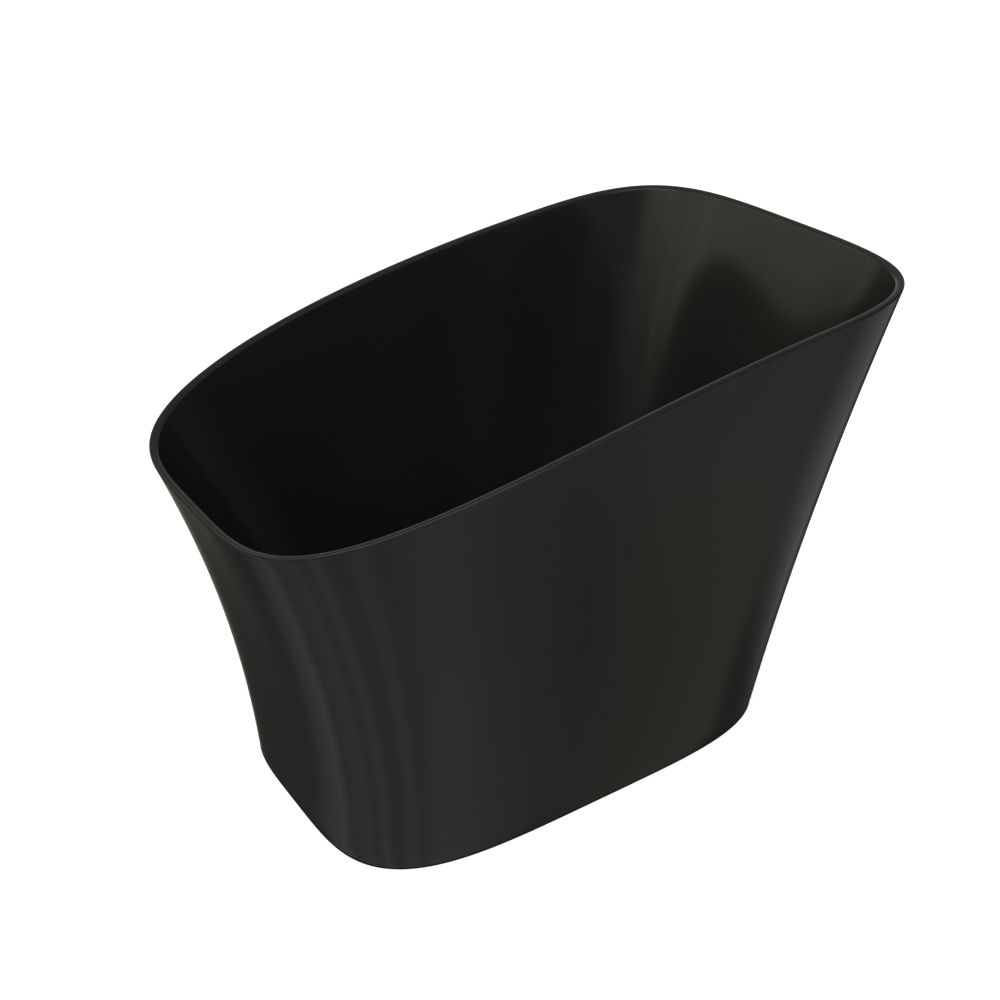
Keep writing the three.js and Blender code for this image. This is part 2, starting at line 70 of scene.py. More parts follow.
# ---------- driving dimensions: those of the CAD, and a few finer ones ----------
GAP = 0.3  # clearance between neighbouring pieces
RIM = Sizes(foot=-600, head=600, widest=240, half_width=375, squareness=3.8)
BASE = Sizes(foot=-475, head=430, widest=-22.5, half_width=290, squareness=4)
FLOOR = Sizes(foot=-340, head=330, widest=-5, half_width=235, squareness=3.4)
FOOT_HEIGHT = 640  # rim above the floor at the foot end
HEAD_HEIGHT = 850
CROWN = 42  # how far the rim line arches above the straight line between them
HOLLOW = Sizes(foot=0.82, head=0.32, side=0.1)  # how concave the outer wall is, 0 = straight
LIP = Sizes(width=15, edge=6, crest=5, depth=12, underside=9, root=26, corner=0.15)
SEAM = 0.06  # what shows of the joint between lip and skirt; the CAD leaves it a GAP
SKIN = 6  # basin wall and floor
SKIRT_SKIN = 5
FLOOR_TOP = 118  # basin floor, water side
COVE = 80  # radius between the basin's floor and its walls

BOARD = Sizes(thick=15, foot=-262, head=262, widest=0, half_width=160, squareness=4, way=52)
RAIL = Sizes(x=(-130, 190), half_length=215, width=40, high=26, wall=2.5, bend=4)
RAIL_SCREW = Sizes(radius=3, head=6.5, head_high=4, length=14, pitch=2.2, y=110)
FOOT_Y = 185  # screw feet, off the centre line
STUD = Sizes(radius=6, bottom=6.6, top=104, hex_bottom=18, hex_top=25, flats=17, pitch=1.75)
NUT = Sizes(flats=19, high=10, lock_high=6)
PAD = Sizes(radius=25, neck=12, bottom=3.3, socket=16, body=22, shoulder=12.5)
SOLE_THICK = 3

WASTE_X = -235
WASTE_HOLE = 27
OVERFLOW_Z = 450
OVERFLOW_HOLE = 17
PIPE = Sizes(radius=9, wall=1.5, behind=20.5, bend=60, level=80, start=30, end=32)
TAIL = Sizes(radius=20, wall=2.5, bottom=12, top=60)

BOARD_TOP = FLOOR_TOP - SKIN - GAP
BOARD_BOTTOM = BOARD_TOP - BOARD.thick
RAIL_TOP = BOARD_BOTTOM - GAP
RAIL_BOTTOM = RAIL_TOP - RAIL.high
WEB_BOTTOM = RAIL_TOP - RAIL.wall

AROUND = 448  # points around every shell outline
STEPS = 96  # points around a turned piece
TURNS = np.arange(AROUND) * 2 * pi / AROUND
ANGLES = np.arange(STEPS) * 2 * pi / STEPS
CROWDING = 0.15  # how far an outline's points gather at its corners


# ---------- camera ----------
VIEW = Sizes(azimuth=radians(-33.74), elevation=radians(29.62), distance=2396, lens=50)
AIM = Vector((-45.4, 0, 470.1))


def add_camera():
    away = Vector((
        sin(VIEW.azimuth) * cos(VIEW.elevation),
        -cos(VIEW.azimuth) * cos(VIEW.elevation),
        sin(VIEW.elevation),
    ))
    camera = bpy.data.objects.new("camera", bpy.data.cameras.new("camera"))
    camera.data.lens = VIEW.lens
    camera.location = (AIM + away * VIEW.distance) * MM
    camera.rotation_euler = away.to_track_quat("Z", "Y").to_euler()
    bpy.context.scene.collection.objects.link(camera)
    bpy.context.scene.camera = camera


# ---------- mesh builders ----------
def mesh_piece(name, points, faces):
    """A mesh object from points in millimetres."""
    mesh = bpy.data.meshes.new(name)
    mesh.from_pydata((np.asarray(points) * MM).tolist(), [], faces)
    mesh.update()
    piece = bpy.data.objects.new(name, mesh)
    bpy.context.scene.collection.objects.link(piece)
    return piece


def skin(name, rings, looped=False):
    """A closed surface through rings of points that run anticlockwise about the way they lead.

    A looped skin leads from its last ring to the first. Any other is closed by a face at both ends.
    """
    count = len(rings[0])
    bands = [(i, i + 1) for i in range(len(rings) - 1)]
    if looped:
        bands.append((len(rings) - 1, 0))
    faces = []
    for low, high in bands:
        a = low * count + np.arange(count)
        b = high * count + np.arange(count)
        faces.extend(np.column_stack([a, np.roll(a, -1), np.roll(b, -1), b]).tolist())
    if not looped:
        last = (len(rings) - 1) * count
        faces.append(list(range(count))[::-1])
        faces.append(list(range(last, last + count)))
    return mesh_piece(name, np.concatenate(rings), faces)


def circle(radius, z):
    """A ring of points about Z. The radius is a number, or one number for each angle."""
    return np.column_stack([radius * np.cos(ANGLES), radius * np.sin(ANGLES), np.full(STEPS, z)])


def soften(corners, radius, looped=True, steps=4):
    """The outline with each corner rounded, and no more than its sides have room for."""
    corners = [np.array(corner, float) for corner in corners]
    softened = []
    for i, corner in enumerate(corners):
        if not looped and i in (0, len(corners) - 1):
            softened.append(corner)
            continue
        before = corners[i - 1] - corner
        after = corners[(i + 1) % len(corners)] - corner
        reach = min(radius, 0.45 * np.linalg.norm(before), 0.45 * np.linalg.norm(after))
        start = corner + before / np.linalg.norm(before) * reach
        end = corner + after / np.linalg.norm(after) * reach
        for share in np.linspace(0, 1, steps + 1):
            softened.append((1 - share) ** 2 * start + 2 * share * (1 - share) * corner + share**2 * end)
    return softened


def turned_ring(name, corners, radius=0.4):
    """A turned ring: its (radius, z) corners run anticlockwise and close on themselves."""
    return skin(name, [circle(r, z) for r, z in soften(corners, radius)], looped=True)


def turned(name, corners, radius=0.4):
    """A turned solid: its (radius, z) corners run anticlockwise, from one end cap to the other."""
    return skin(name, [circle(r, z) for r, z in soften(corners, radius, looped=False)])


def washer(name, bore, outer, bottom, top, radius=0.4):
    return turned_ring(name, [(bore, bottom), (outer, bottom), (outer, top), (bore, top)], radius)


def rod(radius, bottom, top):
    return skin("rod", [circle(radius, bottom), circle(radius, top)])


def moved(piece, matrix):
    """The piece with its mesh carried by a matrix in millimetres."""
    carried = matrix.copy()
    carried.translation = matrix.translation * MM
    piece.data.transform(carried)
    return piece


def shifted(piece, x, y=0):
    return moved(piece, Matrix.Translation((x, y, 0)))


def solve(piece, tools, operation):
    """The piece with the tools cut from it or joined to it. The tools are used up."""
    for tool in tools:
        modifier = piece.modifiers.new("solve", "BOOLEAN")
        modifier.operation = operation
        modifier.solver = "MANIFOLD"
        modifier.object = tool
    solved = piece.evaluated_get(bpy.context.evaluated_depsgraph_get())
    mesh = bpy.data.meshes.new_from_object(solved)
    piece.modifiers.clear()
    piece.data = mesh
    for tool in tools:
        bpy.data.objects.remove(tool)
    return piece


def cut(piece, *tools):
    return solve(piece, tools, "DIFFERENCE")


def join(piece, *tools):
    return solve(piece, tools, "UNION")


def rounded_edge(radius, end, edge, steps=5, side=1):
    """Rings up round a turned piece's lower edge, or its upper one where side is -1."""
    rings = [circle(radius - edge * (1 - sin(a)), end + side * edge * (1 - cos(a)))
             for a in np.linspace(0, pi / 2, steps)]
    return rings[::side]


def hexagon(flats):
    """The radius of a hexagon of that width across its flats, at each angle."""
    return flats / 2 / np.cos((ANGLES % (pi / 3)) - pi / 6)


def hex_rings(flats, bottom, top):
    """Rings up the outside of a hexagonal head whose corners are turned off at both ends."""
    inner = flats / 2 * 0.98
    wide, high = flats * 0.16, flats * 0.08
    slope = [0, 0.35, 0.7, 1]
    cone = [inner + share * wide for share in slope]
    lower = [circle(np.minimum(hexagon(flats), r), bottom + high * s) for r, s in zip(cone, slope)]
    upper = [circle(np.minimum(hexagon(flats), r), top - high * s) for r, s in zip(cone, slope)]
    return lower + upper[::-1]


def hex_nut(name, flats, bore, bottom, top):
    """A chamfered nut whose bore opens out at both ends."""
    bevel = 0.7
    inside = [circle(bore + bevel, top), circle(bore, top - bevel), circle(bore, bottom + bevel),
              circle(bore + bevel, bottom)]
    return skin(name, hex_rings(flats, bottom, top) + inside, looped=True)


def thread(core, crest, pitch, bottom, top, per_turn=10):
    """Rings up a right-handed V-thread that fades in and out at its ends."""
    rings = []
    for z in np.arange(bottom, top, pitch / per_turn):
        phase = (z / pitch - ANGLES / (2 * pi)) % 1
        ridge = np.clip(1.25 - np.abs(2 * phase - 1) * 1.5, 0, 1)
        fade = min((z - bottom) / pitch, (top - z) / pitch, 1)
        rings.append(circle(core + (crest - core) * ridge * fade, z))
    return rings


# ---------- shell surfaces ----------
def signed_power(value, power):
    return np.sign(value) * np.abs(value) ** power


def blend(low, high, share):
    return low + (high - low) * share


def outline(plan, turn=TURNS, inset=0.0):
    """The x and y of a plan outline at each turn, moved inwards along its normal."""
    angle = turn - CROWDING * np.sin(4 * turn)
    along = signed_power(np.cos(angle), 2 / plan.squareness)
    across = signed_power(np.sin(angle), 2 / plan.squareness)
    reach = np.where(along < 0, plan.widest - plan.foot, plan.head - plan.widest)
    normal = np.column_stack([
        signed_power(along, plan.squareness - 1) / reach,
        signed_power(across, plan.squareness - 1) / plan.half_width,
    ])
    normal /= np.linalg.norm(normal, axis=1)[:, None]
    return np.column_stack([plan.widest + reach * along, plan.half_width * across]) - inset * normal


def head_share(turn=TURNS):
    return (outline(RIM, turn)[:, 0] - RIM.foot) / (RIM.head - RIM.foot)


def rim_height(turn=TURNS):
    share = head_share(turn)
    return blend(FOOT_HEIGHT, HEAD_HEIGHT, share) + 4 * CROWN * share * (1 - share)


def wall_ring(height, inset=0.0, turn=TURNS):
    """A ring of the outer wall at the heights above the floor, moved inwards."""
    rim = outline(RIM, turn, inset)
    base = outline(BASE, turn, inset)
    share = height / (rim_height(turn) - LIP.edge)
    sag = share * (1 - share)
    hollow = blend(HOLLOW.foot, HOLLOW.head, head_share(turn))
    x = blend(base[:, 0], rim[:, 0], share - hollow * sag)
    y = blend(base[:, 1], rim[:, 1], share - HOLLOW.side * sag)
    return np.column_stack([x, y, np.broadcast_to(height, turn.shape)])


def lip_ring(inset, drop):
    """A ring of the outer wall at that drop below the rim, moved inwards."""
    return wall_ring(rim_height() - drop, inset)


def basin_section(turn=TURNS):
    """The basin's straight wall at each turn, from the floor's sharp corner up to the lip."""
    corner = outline(FLOOR, turn)
    lip = wall_ring(rim_height(turn) - LIP.edge, LIP.width, turn)
    run = lip[:, :2] - corner
    reach = np.linalg.norm(run, axis=1)
    rise = lip[:, 2] - FLOOR_TOP
    slope = np.arctan2(rise, reach)
    return Sizes(corner=corner, out=run / reach[:, None], reach=reach, rise=rise, slope=slope,
                 tangent=COVE * np.tan(slope / 2))


def section_ring(section, outwards, z):
    return np.column_stack([section.corner + section.out * outwards[:, None], z])


def basin_wall_ring(height, depth, turn=TURNS):
    """A ring of the basin's wall at the heights, depth behind the water side."""
    section = basin_section(turn)
    up = (height - FLOOR_TOP + depth * np.cos(section.slope)) / section.rise
    outwards = section.reach * up + depth * np.sin(section.slope)
    return section_ring(section, outwards, np.broadcast_to(height, turn.shape))


def cove_ring(share, depth):
    """A ring of the rounded corner between floor and wall, depth below the water side.

    Each arc leaves the floor square to its outline and runs up into the slope of the wall.
    """
    section = basin_section()
    radius = COVE + depth
    low = FLOOR_TOP - depth
    start = np.column_stack([outline(FLOOR, inset=section.tangent[:, None]), np.full(AROUND, low)])
    corner = basin_wall_ring(low, depth)
    end = section_ring(section, radius * np.sin(section.slope) - section.tangent,
                       FLOOR_TOP + COVE - radius * np.cos(section.slope))
    before, after = (1 - share) ** 2, share**2
    pull = 2 * share * (1 - share) * np.cos(section.slope / 2)[:, None]
    return (before * start + pull * corner + after * end) / (before + pull + after)


def basin_wall_between(share, depth, drop):
    """A ring of the basin's wall, from the cove at share 0 to that drop below the rim at share 1."""
    start = cove_ring(1, depth)[:, 2]
    return basin_wall_ring(blend(start, rim_height() - drop, share), depth)


def flat_inside(ring, shares):
    """Smaller copies of a level ring, shrunk about the middle of the tub."""
    return [ring * np.array([share, share, 1]) for share in shares]


def overflow_place():
    """The overflow's axes: Z out of the foot wall into the tub, X down along the wall."""
    foot_turn = np.array([pi])
    slope = basin_section(foot_turn).slope[0]
    place = Matrix.Rotation(slope, 4, "Y")
    place.translation = basin_wall_ring(OVERFLOW_Z, 0, foot_turn)[0]
    return place


# ---------- shells ----------
def basin():
    """The one-piece basin, from under its floor, over the rolled lip, down to the water side's floor."""
    quarter = np.linspace(0, pi / 2, 9)
    corner = [LIP.corner * (1 - sin(a)) for a in (0, pi / 4, pi / 2)]
    rings = [
        *flat_inside(cove_ring(0, SKIN), [0.5, 0.9]),
        *[cove_ring(share, SKIN) for share in np.linspace(0, 1, 17)],
        *[basin_wall_between(share, SKIN, LIP.root) for share in np.linspace(0, 1, 25)[1:]],
        lip_ring(LIP.underside, LIP.depth),
        *[lip_ring(aside, LIP.depth - down) for aside, down in zip(corner, corner[::-1])],
        *[lip_ring(LIP.crest * (1 - cos(a)), LIP.edge * (1 - sin(a))) for a in quarter],
        *[lip_ring(LIP.width - (LIP.width - LIP.crest) * (1 - sin(a)), LIP.edge * (1 - cos(a)))
          for a in quarter[1:]],
        *[basin_wall_between(share, 0, LIP.edge) for share in np.linspace(1, 0, 41)[1:-1]],
        *[cove_ring(share, 0) for share in np.linspace(1, 0, 25)],
        *flat_inside(cove_ring(0, 0), [0.97, 0.8, 0.5]),
    ]
    waste_hole = shifted(rod(WASTE_HOLE, FLOOR_TOP - SKIN - 5, FLOOR_TOP + 5), WASTE_X)
    overflow_hole = moved(rod(OVERFLOW_HOLE, -SKIN - 5, 5), overflow_place())
    return cut(skin("basin", rings), waste_hole, overflow_hole)


def outer_skirt():
    """The outer wall, with a rounded foot and a softened top edge under the lip."""
    edge, top_edge = 1.5, 0.1
    top = rim_height() - LIP.depth - SEAM
    return skin("outer_skirt", [
        *[wall_ring(edge * (1 - sin(a)), edge * (1 - cos(a))) for a in np.linspace(0, pi / 2, 6)],
        *[wall_ring(blend(edge, top - top_edge, share)) for share in np.linspace(0, 1, 49)[1:]],
        wall_ring(top, top_edge),
        *[wall_ring(share * top, SKIRT_SKIN) for share in np.linspace(1, 0, 13)],
    ], looped=True)


def rim_bond():
    """The bead of sealant that holds the skirt's top edge under the lip."""
    half = Sizes(thick=1.25, high=5)
    inset = SKIRT_SKIN + GAP + half.thick
    drop = LIP.depth + GAP + half.high
    return skin("rim_bond", [
        lip_ring(inset - half.thick * signed_power(cos(a), 0.5),
                 drop - half.high * signed_power(sin(a), 0.5))
        for a in np.linspace(0, 2 * pi, 17)[:-1]
    ], looped=True)


# ---------- under-frame ----------
def base_board():
    """Chipboard bonded under the floor, with soft edges, a way for the waste and screw holes."""
    edge = 1.5
    levels = [(edge, BOARD_BOTTOM), (0, BOARD_BOTTOM + edge), (0, BOARD_TOP - edge), (edge, BOARD_TOP)]
    rings = [
        np.column_stack([outline(BOARD, inset=inset), np.full(AROUND, z)]) for inset, z in levels
    ]
    way = shifted(rod(BOARD.way, BOARD_BOTTOM - 5, BOARD_TOP + 5), WASTE_X)
    holes = [
        shifted(rod(RAIL_SCREW.radius + GAP, BOARD_BOTTOM - 5, BOARD_TOP + 5), x, y)
        for x, y in rail_screw_spots()
    ]
    return cut(skin("base_board", rings), way, *holes)


def rail_screw_spots():
    return [(x, y) for x in RAIL.x for y in (-RAIL_SCREW.y, RAIL_SCREW.y)]


def foot_spots():
    return [(x, y) for x in RAIL.x for y in (-FOOT_Y, FOOT_Y)]


def cross_rail(x):
    """A bent steel channel, open downwards, with holes for its two studs and two screws."""
    half = RAIL.width / 2
    inner = half - RAIL.wall
    outside = [(half, RAIL_BOTTOM), (half, RAIL_TOP), (-half, RAIL_TOP), (-half, RAIL_BOTTOM)]
    inside = [(-inner, RAIL_BOTTOM), (-inner, WEB_BOTTOM), (inner, WEB_BOTTOM), (inner, RAIL_BOTTOM)]
    across = np.array([
        *soften(outside, RAIL.bend, looped=False, steps=8),
        *soften(inside, RAIL.bend - RAIL.wall, looped=False, steps=8),
    ])
    channel = skin("cross_rail", [
        np.column_stack([across[:, 0], np.full(len(across), y), across[:, 1]])
        for y in (RAIL.half_length, 0, -RAIL.half_length)
    ])
    holes = [(STUD.radius + 1, y) for y in (-FOOT_Y, FOOT_Y)]
    holes += [(RAIL_SCREW.radius + GAP, y) for y in (-RAIL_SCREW.y, RAIL_SCREW.y)]
    drills = [shifted(rod(r, RAIL_BOTTOM - 5, RAIL_TOP + 5), 0, y) for r, y in holes]
    return shifted(cut(channel, *drills), x)


def rail_screw(x, y):
    """A pan-head screw, pointing up into the board, with a hexagonal socket."""
    seat = WEB_BOTTOM - GAP
    head = RAIL_SCREW.head
    bottom = seat - RAIL_SCREW.head_high
    core = RAIL_SCREW.radius * 0.72
    tip = seat + RAIL_SCREW.length
    socket = hexagon(4)
    rings = [
        circle(socket * 0.4, bottom + 2.4), circle(socket, bottom + 2.2), circle(socket, bottom + 0.3),
        circle(socket + 0.3, bottom),
        *rounded_edge(head, bottom, edge=1.8, steps=7),
        circle(head, seat - 0.2), circle(head - 0.2, seat), circle(core, seat),
        *thread(core, RAIL_SCREW.radius, RAIL_SCREW.pitch, seat + 0.1, tip, per_turn=8),
        circle(0.05, tip + core),
    ]
    return shifted(skin("rail_screw", rings), x, y)


def foot_stud(x, y):
    """A threaded stud with a hexagonal collar to turn it by and a smooth toe in its pad."""
    core = STUD.radius * 0.86
    neck = STUD.radius - 0.9
    toe = [circle(r, z) for r, z in soften(
        [(0.1, STUD.bottom), (STUD.radius, STUD.bottom), (STUD.radius, STUD.hex_bottom - 0.6),
         (neck, STUD.hex_bottom)], 0.8, looped=False)]
    rings = [
        *toe,
        *hex_rings(STUD.flats, STUD.hex_bottom, STUD.hex_top),
        circle(core, STUD.hex_top),
        *thread(core, STUD.radius, STUD.pitch, STUD.hex_top + 0.5, STUD.top - 1),
        circle(core - 0.6, STUD.top),
    ]
    return shifted(skin("foot_stud", rings), x, y)


def foot_pad(x, y):
    """A moulded foot: a disc and a socketed neck, stiffened by eight webs."""
    web = np.clip(np.cos(ANGLES * 8) * 4 - 2.6, 0, 1)
    cone = [circle(blend(blend(PAD.neck, PAD.body, share),
                         blend(PAD.neck + 2, PAD.radius - 1.2, share), web),
                   blend(PAD.shoulder, PAD.bottom + 3.2, share)) for share in np.linspace(1, 0, 9)]
    bore = STUD.radius + GAP
    rings = [
        circle(0.1, PAD.bottom),
        *rounded_edge(PAD.radius, PAD.bottom, edge=1),
        circle(PAD.radius, PAD.bottom + 2.4), circle(PAD.radius - 0.6, PAD.bottom + 3),
        *cone,
        *rounded_edge(PAD.neck, PAD.socket, edge=0.8, side=-1),
        circle(bore + 0.6, PAD.socket), circle(bore, PAD.socket - 0.6), circle(bore, STUD.bottom - GAP),
        circle(0.1, STUD.bottom - GAP),
    ]
    return shifted(skin("foot_pad", rings), x, y)


def foot_sole(x, y):
    """A rubber disc with four ring grooves in its tread."""
    grooves = []
    for r in (5, 10, 15, 20):
        grooves += [(r, 0), (r + 0.3, 0.9), (r + 1.6, 0.9), (r + 1.9, 0)]
    corners = [(0.1, 0), *grooves, (PAD.radius, 0), (PAD.radius, SOLE_THICK), (0.1, SOLE_THICK)]
    return shifted(turned("foot_sole", corners, 0.5), x, y)


# ---------- waste ----------
FLANGE = Sizes(bore=21, neck=24.5, radius=35, bottom=92, seat=120.6, top=123.6)
CROSS = Sizes(span=43, width=5, hub=8, bottom=96, top=101)
SEAL = Sizes(bore=27.3, flange_radius=33, body_radius=38, body_bottom=109.2)
BOWL = Sizes(bore=24.8, radius=30, rim=40, rim_bottom=104.9, top=108.9, well=68, cone=66,
             neck_top=60, neck=24, bottom=44, ledge=62)
TAIL_NUT = Sizes(radius=29, thread=24.3, bottom=36, seat=40, top=54)
ELBOW = Sizes(wall=3, root=27.4, length=50)
POST = Sizes(radius=4, collar=7, bottom=89, collar_bottom=101.3, collar_top=105.3, top=118)
POST_NUT = Sizes(flats=13, bottom=91, top=95.7)
PLUG = Sizes(radius=31, hub=7.5, bottom=107, socket=119, under=126.2, rim=128.2, crown=130.3)
PLUG_SEAL = Sizes(bore=20, radius=28.5, bottom=123.9, top=125.9)


def bar(sizes, turn):
    """A level bar with softened long edges, turned about Z."""
    reach, half, low, high = sizes.span / 2, sizes.width / 2, sizes.bottom, sizes.top
    across = np.array(soften([(-half, low), (half, low), (half, high), (-half, high)], 0.5))
    rings = [np.column_stack([np.full(len(across), x), across]) for x in (-reach, reach)]
    return moved(skin("bar", rings), Matrix.Rotation(turn, 4, "Z"))


def cross(sizes, top):
    """The tools that join a hub on two crossed bars to a ring."""
    return [bar(sizes, 0), bar(sizes, pi / 2), rod(sizes.hub, sizes.bottom, top)]


def waste_flange():
    """A flanged collar with two crossed bars that hold the post."""
    collar = turned_ring("waste_flange", [
        (FLANGE.bore, FLANGE.bottom), (FLANGE.neck, FLANGE.bottom), (FLANGE.neck, FLANGE.seat),
        (FLANGE.radius, FLANGE.seat), (FLANGE.radius, FLANGE.top), (FLANGE.bore + 3, FLANGE.top),
        (FLANGE.bore, FLANGE.seat)], 1.2)
    post_hole = rod(POST.radius + GAP, CROSS.bottom - 5, CROSS.top + 5)
    return shifted(cut(join(collar, *cross(CROSS, CROSS.top)), post_hole), WASTE_X)


def waste_body():
    """A moulded bowl with a neck for the tail pipe and a side branch for the overflow pipe."""
    fit = TAIL.radius + GAP
    bowl = turned_ring("waste_body", [
        (fit, BOWL.bottom), (BOWL.neck, BOWL.bottom), (BOWL.neck, BOWL.neck_top),
        (BOWL.radius, BOWL.cone), (BOWL.radius, BOWL.rim_bottom), (BOWL.rim, BOWL.rim_bottom),
        (BOWL.rim, BOWL.top), (BOWL.bore, BOWL.top), (BOWL.bore, BOWL.well), (fit, BOWL.ledge)], 0.8)
    along = Matrix.Rotation(-pi / 2, 4, "Y")
    along.translation = (0, 0, PIPE.level)
    bore = PIPE.radius + GAP
    branch = moved(washer("branch", bore, bore + ELBOW.wall, ELBOW.root, ELBOW.length, 0.6), along)
    way = moved(rod(bore, TAIL.radius, ELBOW.length + 5), along)
    return shifted(cut(join(bowl, branch), way), WASTE_X)


def ribbed(radius, ribs, depth):
    """A radius at each angle, with rounded ribs for the fingers."""
    return radius - depth * np.abs(np.sin(ANGLES * ribs / 2)) ** 1.5


def grip_nut(name, radius, ribs, bottom, top, inside):
    """A ribbed hand nut; the inside is a list of (radius, z) corners from its top to its bottom."""
    edge, depth = 1.2, 1.5
    plain = radius - 1.6
    return skin(name, [
        *rounded_edge(plain, bottom, edge),
        *[circle(blend(plain, ribbed(radius, ribs, depth), min(s * 6, (1 - s) * 6, 1)),
                 blend(bottom + edge, top - edge, s)) for s in np.linspace(0, 1, 13)],
        *rounded_edge(plain, top, edge, side=-1)[1:],
        *[circle(r, z) for r, z in inside],
    ], looped=True)


def tail_nut():
    bore = TAIL.radius + GAP
    inside = [(TAIL_NUT.thread, TAIL_NUT.top), (TAIL_NUT.thread, TAIL_NUT.seat), (bore, TAIL_NUT.seat),
              (bore, TAIL_NUT.bottom)]
    nut = grip_nut("tail_nut", TAIL_NUT.radius, 20, TAIL_NUT.bottom, TAIL_NUT.top, inside)
    return shifted(nut, WASTE_X)


def plug_cap():
    """A domed cap with a rolled edge, on a hub that sits over the click post."""
    bore = POST.radius + GAP
    edge = 1
    rise = PLUG.crown - PLUG.rim - edge
    dome = [(PLUG.radius - edge - share * (PLUG.radius - edge - 0.1),
             PLUG.rim + edge + rise * (1 - (1 - share) ** 2.4)) for share in np.linspace(0, 1, 17)]
    rings = [
        circle(0.1, PLUG.socket), circle(bore, PLUG.socket), circle(bore, PLUG.bottom + 0.5),
        circle(bore + 0.5, PLUG.bottom), circle(PLUG.hub - 0.5, PLUG.bottom),
        circle(PLUG.hub, PLUG.bottom + 0.5), circle(PLUG.hub, PLUG.under - 1),
        circle(PLUG.hub + 1, PLUG.under), circle(PLUG.radius - edge, PLUG.under),
        circle(PLUG.radius - 0.3, PLUG.under + 0.3), circle(PLUG.radius, PLUG.under + edge),
        *rounded_edge(PLUG.radius, PLUG.rim + edge, edge, steps=7, side=-1),
        *[circle(r, z) for r, z in dome[1:]],
    ]
    return shifted(skin("plug_cap", rings), WASTE_X)


def plug_seal():
    """A soft ring with a thin lip at its outer edge."""
    low, high = PLUG_SEAL.bottom, PLUG_SEAL.top
    corners = [(PLUG_SEAL.bore, low + 0.5), (PLUG_SEAL.radius - 3, low + 0.5),
               (PLUG_SEAL.radius - 0.4, low), (PLUG_SEAL.radius, low + 0.3),
               (PLUG_SEAL.radius - 2, high), (PLUG_SEAL.bore, high)]
    return shifted(turned_ring("plug_seal", corners), WASTE_X)


def click_post():
    """A sprung push-button cartridge: a threaded shank, a collar and a smooth plunger."""
    core = POST.radius - 0.5
    rings = [
        circle(core - 0.6, POST.bottom),
        *thread(core, POST.radius, 1, POST.bottom + 0.4, POST.collar_bottom - 0.2),
        *[circle(r, z) for r, z in soften(
            [(core, POST.collar_bottom), (POST.collar, POST.collar_bottom),
             (POST.collar, POST.collar_top), (POST.radius, POST.collar_top),
             (POST.radius, POST.top), (0.1, POST.top)], 0.6, looped=False)],
    ]
    return shifted(skin("click_post", rings), WASTE_X)


def post_nut():
    nut = hex_nut("post_nut", POST_NUT.flats, POST.radius + GAP, POST_NUT.bottom, POST_NUT.top)
    return shifted(nut, WASTE_X)


def waste_washer(name, *sizes):
    """A gasket of the waste, squeezed so that its edge bulges."""
    return shifted(washer(name, *sizes, radius=0.9), WASTE_X)


def tail_pipe():
    pipe = washer("tail_pipe", TAIL.radius - TAIL.wall, TAIL.radius, TAIL.bottom, TAIL.top, 0.8)
    return shifted(pipe, WASTE_X)


# ---------- overflow ----------
SPOUT = Sizes(bore=13, neck=16.5, radius=23, bottom=-13, top=3.3)
SPOUT_CROSS = Sizes(span=28, width=5, hub=5, bottom=-3, top=1.5)
CHAMBER = Sizes(radius=22, inside=19.5, bore=16.8, rim=25, bottom=-32, floor=-29.8, shoulder=-16,
                mouth=-13.5, rim_bottom=-11.9, top=-8.9)
COVER = Sizes(radius=34, wall=2.5, bottom=3.5, under=10, face=13, boss=6)
COVER_SCREW = Sizes(radius=2.5, head=5, bottom=-6, seat=10.8, top=12.8)
STUB = Sizes(wall=2, length=46)
RIBS = Sizes(pitch=3.6, depth=1, start=40, end=35, fade=4)
PIPE_NUT = Sizes(radius=16, bottom=-8, seat=-4, top=6, from_waste=50)


def overflow_ring():
    collar = turned_ring("overflow_ring", [
        (SPOUT.bore, SPOUT.bottom), (SPOUT.neck, SPOUT.bottom), (SPOUT.neck, GAP), (SPOUT.radius, GAP),
        (SPOUT.radius, SPOUT.top), (SPOUT.bore, SPOUT.top)], 0.6)
    screw_hole = rod(COVER_SCREW.radius + GAP, SPOUT_CROSS.bottom - 2, SPOUT.top + 2)
    return moved(cut(join(collar, *cross(SPOUT_CROSS, SPOUT.top)), screw_hole), overflow_place())


def overflow_gasket():
    gasket = washer("overflow_gasket", OVERFLOW_HOLE + 0.2, CHAMBER.rim, CHAMBER.top + GAP,
                    -SKIN - GAP, 0.9)
    return moved(gasket, overflow_place())


def overflow_body():
    """A moulded chamber behind the wall, with a stub for the pipe."""
    chamber = turned("overflow_body", [
        (0.1, CHAMBER.bottom), (CHAMBER.radius, CHAMBER.bottom), (CHAMBER.radius, CHAMBER.rim_bottom),
        (CHAMBER.rim, CHAMBER.rim_bottom), (CHAMBER.rim, CHAMBER.top), (CHAMBER.bore, CHAMBER.top),
        (CHAMBER.bore, CHAMBER.mouth), (CHAMBER.inside, CHAMBER.shoulder),
        (CHAMBER.inside, CHAMBER.floor), (0.1, CHAMBER.floor)], 0.8)
    down = Matrix.Rotation(pi / 2, 4, "Y")
    down.translation = (0, 0, -PIPE.behind)
    bore = PIPE.radius + GAP
    stub = moved(washer("stub", bore, bore + STUB.wall, CHAMBER.inside + 1, STUB.length, 0.6), down)
    way = moved(rod(bore, PIPE.radius, STUB.length + 5), down)
    return moved(cut(join(chamber, stub), way), overflow_place())


